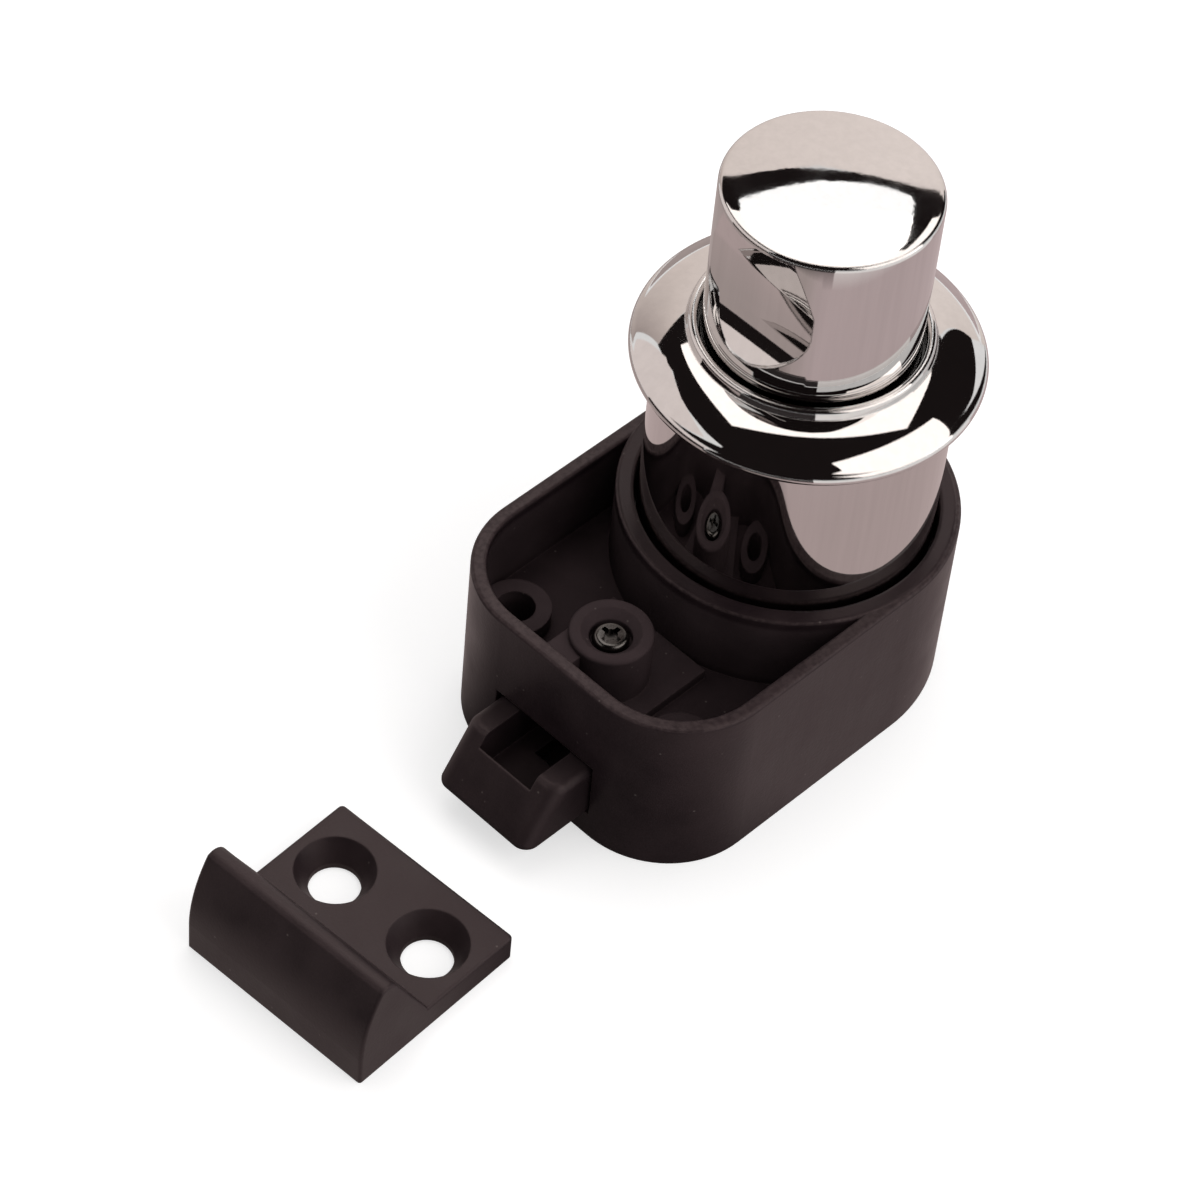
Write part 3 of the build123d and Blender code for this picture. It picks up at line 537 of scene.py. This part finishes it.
def moulded_black(name, shine, rough, is_tray=False):
    """Warm black moulded plastic: fine grain, patchy gloss, edges painted paler as painted highlight and a
    little dust; on the housing also a painted highlight on the rim's top and painted fill light inside the
    tray.
    """
    made = Nodes(name)
    patches = made.noise(260, detail=4)
    colour = made.ramp(patches, "Fac", (0.3, PLASTIC_DARK), (0.72, PLASTIC_LIGHT))
    gloss = made.between(patches, "Fac", rough, rough + GLOSS_SPREAD, start=0.3, end=0.7)
    rounded = soft_edges(made, radius=0.0002)
    made.shader.inputs["Specular Tint"].default_value = SHINE_TINT
    if is_tray:
        place = made.add("ShaderNodeSeparateXYZ")
        made.join(made.place, "Object", place, "Vector")
        inside = inside_tray(made, place)
        # Painted fill light: the tray's inside is painted paler to lighten its shade, less so down on the
        # deck
        above_deck = made.between(place, "Z", 0.3, 1.0, DECK_TOP + 0.0001, PAD_TOP - 0.0001)
        paler = made.ramp(patches, "Fac", (0.3, TRAY_PAINTED_FILL_DARK), (0.72, TRAY_PAINTED_FILL_LIGHT))
        colour = made.mix(made.product(inside, above_deck), colour, paler)
        duller = made.add("ShaderNodeMath", operation="MULTIPLY_ADD")
        duller.inputs[1].default_value = TRAY_DULLER
        made.join(inside, "Value", duller, 0)
        made.join(gloss, "Result", duller, 2)
        made.join(duller, "Value", made.shader, "Roughness")
        level = made.between(inside, "Value", shine, TRAY_SHINE)
        made.join(level, "Result", made.shader, "Specular IOR Level")
    else:
        made.join(gloss, "Result", made.shader, "Roughness")
        made.shader.inputs["Specular IOR Level"].default_value = shine
    # Painted highlight: the edges are painted paler
    colour = made.mix(edge_share(made, rounded), colour, PLASTIC_PAINTED_HIGHLIGHT)
    if is_tray:
        # Painted highlight on the rim's flat top, in patches
        colour = made.mix(rim_highlight_share(made, place), colour, PLASTIC_PAINTED_HIGHLIGHT)
    colour = made.mix(dust_share(made), colour, DUST)
    made.tree.links.new(colour_of(colour), made.shader.inputs["Base Color"])
    flow = made.bump(made.noise(420, detail=2, stretch=(1, 1, 0.3)), "Fac", distance=0.00003, under=rounded)
    grain = made.bump(made.noise(4200, detail=2), "Fac", distance=0.000014, strength=0.8, under=flow)
    made.join(grain, "Normal", made.shader, "Normal")
    return made.material


def bright_chrome(name):
    """Polished chrome plate: rounded edges, a faint ripple and the streaks that polishing leaves."""
    made = Nodes(name)
    haze = made.between(made.noise(300), "Fac", 0.015, 0.05, start=0.35, end=0.75)
    made.join(haze, "Result", made.shader, "Roughness")
    streaks = made.noise(1500, detail=4, stretch=(1, 1, 0.05))
    tint = made.ramp(streaks, "Fac", (0.35, [c * 0.955 for c in CHROME]), (0.65, CHROME))
    made.join(tint, "Color", made.shader, "Base Color")
    waves = made.noise(2100, detail=2, stretch=(1, 1, 0.4))
    ripple = made.bump(waves, "Fac", distance=0.0000006, under=soft_edges(made, radius=0.00016))
    made.join(ripple, "Normal", made.shader, "Normal")
    made.shader.inputs["Metallic"].default_value = 1.0
    return made.material


def plated_steel(name, colour, rough):
    """Zinc plated, blackened, cast or drawn metal of the small parts."""
    made = Nodes(name)
    cloud = made.noise(900, detail=4)
    gloss = made.between(cloud, "Fac", rough - 0.08, rough + 0.12, start=0.3, end=0.7)
    made.join(gloss, "Result", made.shader, "Roughness")
    tint = made.ramp(cloud, "Fac", (0.3, [c * 0.8 for c in colour]), (0.7, colour))
    made.join(tint, "Color", made.shader, "Base Color")
    grain = made.bump(made.noise(4000, detail=2), "Fac", distance=0.000002)
    made.join(grain, "Normal", made.shader, "Normal")
    made.shader.inputs["Metallic"].default_value = 1.0
    return made.material


def acetal(name, colour):
    """Smooth moulded acetal of the guide and the bush."""
    made = Nodes(name)
    cloud = made.noise(500)
    tint = made.ramp(cloud, "Fac", (0.3, [c * 0.85 for c in colour]), (0.7, colour))
    made.join(tint, "Color", made.shader, "Base Color")
    made.join(made.between(cloud, "Fac", 0.3, 0.42, start=0.3, end=0.7), "Result", made.shader, "Roughness")
    grain = made.bump(made.noise(3000, detail=2), "Fac", distance=0.000006)
    made.join(grain, "Normal", made.shader, "Normal")
    return made.material


def dress(material, *names):
    """Gives the material to frame nodes."""
    for name in names:
        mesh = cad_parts[name].data
        mesh.materials.clear()
        mesh.materials.append(material)


def finish_frame_nodes():
    """Gives every frame node its material, or the finer piece that takes its place."""
    dress(moulded_black("moulded_body", shine=0.22, rough=0.28, is_tray=True), "housing")
    dress(moulded_black("moulded_black", shine=0.42, rough=0.38), "bottom_cover", "bolt", "striker")
    chrome = bright_chrome("bright_chrome")
    push_knob(chrome)
    clamping_rosette(chrome)
    steel = plated_steel("plated_steel", ZINC, rough=0.28)
    dress(steel, "tower_screws", "stem_nut", "lower_washer", "upper_washer", "stem", "wedge_pin")
    dress(plated_steel("dark_screw", BLACK_STEEL, rough=0.2), "cover_screw")
    wire = plated_steel("spring_wire", SPRING_WIRE, rough=0.22)
    dress(wire, "retaining_clip")
    working_spring(
        "knob_spring", "knob_return_coil", wire
    )
    working_spring(
        "bolt_spring", "bolt_return_coil", wire
    )
    dress(plated_steel("cast_wedge", CAST_METAL, rough=0.4), "cam_wedge")
    dress(acetal("guide_acetal", GUIDE_ACETAL), "guide_tower")
    dress(acetal("bush_acetal", BUSH_ACETAL), "bore_bush")


# Light, floor and the cards of painted reflection that only polished surfaces see

def direction(turn, rise):
    """From the latch, turn degrees clockwise from straight behind it and rise degrees up."""
    turn, rise = math.radians(turn), math.radians(rise)
    return Vector((math.sin(turn) * math.cos(rise), math.cos(turn) * math.cos(rise), math.sin(rise)))


def soft_lamp(name, corner, along, across):
    """An even bright panel: a corner, and the two sides that leave it."""
    corner, along, across = Vector(corner), Vector(along), Vector(across)
    data = bpy.data.lights.new(name, "AREA")
    data.shape = "RECTANGLE"
    data.size, data.size_y = along.length, across.length
    data.energy = LAMP_STRENGTH * along.length * across.length * math.pi
    data.color = LAMP_TINT
    lamp = bpy.data.objects.new(name, data)
    away = along.cross(across).normalized()
    middle = corner + (along + across) / 2
    if away.dot(middle) < 0:
        away.negate()
    right = along.normalized()
    turned = Matrix((right, away.cross(right), away)).transposed().to_4x4()
    lamp.matrix_world = Matrix.Translation(middle) @ turned
    bpy.context.scene.collection.objects.link(lamp)


def seen_rays(tree):
    """A value that is 1 for what the camera, metal and glass see, and 0 for light on the object."""
    path = tree.nodes.new("ShaderNodeLightPath")
    seen = path.outputs["Is Camera Ray"]
    for kind in ("Is Glossy Ray", "Is Transmission Ray"):
        either = tree.nodes.new("ShaderNodeMath")
        either.operation = "MAXIMUM"
        tree.links.new(seen, either.inputs[0])
        tree.links.new(path.outputs[kind], either.inputs[1])
        seen = either.outputs[0]
    return seen


def set_light():
    """A pale room, white where it is seen, with a large soft lamp overhead and one on the right."""
    world = bpy.data.worlds.new("pale_room")
    bpy.context.scene.world = world
    world.use_nodes = True
    tree = world.node_tree
    tree.nodes.clear()
    out = tree.nodes.new("ShaderNodeOutputWorld")
    seen = tree.nodes.new("ShaderNodeBackground")
    seen.inputs["Color"].default_value = (1, 1, 1, 1)
    lit = tree.nodes.new("ShaderNodeBackground")
    lit.inputs["Color"].default_value = ROOM_TINT
    lit.inputs["Strength"].default_value = ROOM_STRENGTH
    mix = tree.nodes.new("ShaderNodeMixShader")
    tree.links.new(seen_rays(tree), mix.inputs[0])
    tree.links.new(lit.outputs[0], mix.inputs[1])
    tree.links.new(seen.outputs[0], mix.inputs[2])
    tree.links.new(mix.outputs[0], out.inputs["Surface"])
    soft_lamp("overhead", *OVERHEAD_LAMP)
    soft_lamp("right_lamp", *RIGHT_LAMP)


def lay_floor():
    """A pale floor, white where the camera or a mirror sees it, that keeps the shadow."""
    made = bmesh.new()
    bmesh.ops.create_grid(made, x_segments=1, y_segments=1, size=FLOOR_HALF_SIDE)
    floor = mesh_object("floor", made)
    floor.location.z = FLOOR_HEIGHT
    paper = Nodes("paper")
    paper.shader.inputs["Base Color"].default_value = PAPER
    paper.shader.inputs["Roughness"].default_value = 1.0
    paper.shader.inputs["Specular IOR Level"].default_value = 0.0
    paper.shader.inputs["Emission Color"].default_value = (1, 1, 1, 1)
    glow = paper.add("ShaderNodeMath", operation="MULTIPLY")
    glow.inputs[1].default_value = PAPER_GLOW
    paper.tree.links.new(seen_rays(paper.tree), glow.inputs[0])
    paper.join(glow, "Value", paper.shader, "Emission Strength")
    floor.data.materials.append(paper.material)


def show_in_mirrors_only(name, made, glow):
    """A card of painted reflection: polished surfaces see it, and the camera and the light don't."""
    card = mesh_object(name, made)
    card.data.materials.append(glow)
    card.visible_camera = card.visible_diffuse = card.visible_shadow = False


def glossy_card(name, facing, reach, corners, glow):
    """A flat card whose corners lie in these directions from the rosette, square to facing at reach."""
    normal = direction(*facing)
    rays = [direction(*corner) for corner in corners]
    made = bmesh.new()
    made.faces.new([made.verts.new(ROSETTE_MIDDLE + ray * reach / ray.dot(normal)) for ray in rays])
    show_in_mirrors_only(name, made, glow)


def card_paint(name, colour):
    """One even tone."""
    paint = Nodes(name, shader="ShaderNodeEmission", result="Emission")
    paint.shader.inputs["Color"].default_value = (*colour, 1)
    return paint.material


def backdrop_paint():
    """The warm backdrop as a painted reflection, brightest in its middle."""
    paint = Nodes("warm_backdrop", shader="ShaderNodeEmission", result="Emission")
    run = paint.vector_math("DOT_PRODUCT", (0.8, 0.6, 0.0))
    span = paint.between(run, "Value", 0.0, 1.0, start=-1.5, end=1.1)
    tone = paint.ramp(
        span, "Result",
        (0.0, (0.42, 0.35, 0.33)),
        (0.35, (0.86, 0.75, 0.70)),
        (0.62, (1.06, 0.95, 0.90)),
        (1.0, (0.86, 0.77, 0.72)),
    )
    paint.join(tone, "Color", paint.shader, "Color")
    return paint.material


def set_cards():
    """Painted reflections in the chrome: the dark room, the warm backdrop, the left panel, and a glowing lip
    and a dark side by the overhead lamp.
    """
    dark = card_paint("dark_room", DARK_ROOM)
    glossy_card("warm_backdrop", (-40, 10), 1.2, (
        (-89, -14), (-89, 34.3), (-60, 41.0), (-47.5, 43.3), (-39, 41.4), (-27, 41.4),
        (-17, 38.6), (-2, 8), (-2, -14),
    ), backdrop_paint())
    glossy_card("dark_ceiling", (0, 90), 1.3, (
        (-89.4, 33.5), (-16.4, 37.8), (70, 14), (100, 10), (150, 10), (191, 12),
        (-168, 48.6), (-152.5, 49.3), (-123.7, 48.4), (-97.6, 46.3),
    ), dark)
    glossy_card("dark_corner", (20, 25), 1.4, (
        (-17, 41), (-3, 9), (20.6, 16), (37.9, 24), (60, 24), (60, 60), (0, 60),
    ), dark)
    glossy_card("dark_front", (146, 30), 1.4, (
        (96, 16), (130, 16), (130, -1), (191, -1), (191, 62), (96, 62),
    ), dark)
    glossy_card("dark_low_front", (208, 0), 0.14, ((190, -13.2), (232, -13.2), (232, 12), (190, 14)), dark)
    glossy_card("left_panel", (228, 20), 1.5, (
        (192, -1), (268, -1), (268, 44), (192, 40),
    ), card_paint("left_panel", LEFT_PANEL))
    # Painted highlight: a card brighter than white, seen only in polished surfaces, that lights nothing
    glossy_card("painted_lamp_glint", (-37, 49), 1.0, (
        (-47.5, 46.7), (-43.6, 45.2), (-41.2, 44.4), (-38.8, 43.6), (-34.1, 42.9), (-31.8, 42.8),
        (-29.2, 43.2), (-28.1, 44.7), (-27.2, 48), (-27, 56), (-48, 56),
    ), card_paint("painted_lamp_glint", LAMP_LIP_GLINT))
    glossy_card("lamp_side", (-27, 48), 0.45, (
        (-29.2, 42.6), (-28.1, 44.7), (-27.2, 48), (-26.8, 52), (-25, 52), (-25, 41.5),
    ), dark)


def table_side(table, turn, start=0.0, end=0.0001):
    """0 on one side of a line across the table and 1 on the side that turn points to."""
    return table.between(table.vector_math("DOT_PRODUCT", direction(turn, 0)), "Value", 0.0, 1.0, start, end)


def lay_table_card():
    """The table as polished surfaces see it, as painted reflection: a grey that is paler on the right, a
    painted shadow close before the bolt, and beyond 60 mm from the knob's axis dark in front and white on
    the right."""
    made = bmesh.new()
    lowered = Matrix.Translation((0, 0, TABLE_HEIGHT))
    bmesh.ops.create_grid(made, x_segments=1, y_segments=1, size=TABLE_HALF_SIDE, matrix=lowered)
    table = Nodes("table_card", shader="ShaderNodeEmission", result="Emission")
    away = table.vector_math("LENGTH")
    tone = table.mix(table_side(table, 53, start=-0.012, end=0.006), TABLE_LEFT, TABLE_RIGHT)
    tone = table.mix(table.between(away, "Value", 0.0, 1.0, start=0.034, end=0.047), TABLE_NEAR, tone)
    ahead = table.vector_math("DISTANCE", TABLE_SHADE_PLACE)
    # Painted shadow: a dark patch on the table close before the bolt
    tone = table.mix(table.between(ahead, "Value", 1.0, 0.0, start=0.012, end=0.020), tone, TABLE_SHADE)
    far = table.between(away, "Value", 0.0, 1.0, start=0.060, end=0.066)
    in_front = table.product(table_side(table, 220), table_side(table, 101))
    tone = table.mix(table.product(far, in_front), tone, TABLE_FRONT)
    on_right = table.product(table_side(table, 40), table_side(table, 125))
    tone = table.mix(table.product(far, on_right), tone, TABLE_FAR_RIGHT)
    table.tree.links.new(colour_of(tone), table.shader.inputs["Color"])
    show_in_mirrors_only("table_card", made, table.material)


place_camera()
finish_frame_nodes()
set_light()
set_cards()
lay_table_card()
lay_floor()
bpy.context.scene.view_settings.view_transform = "Standard"
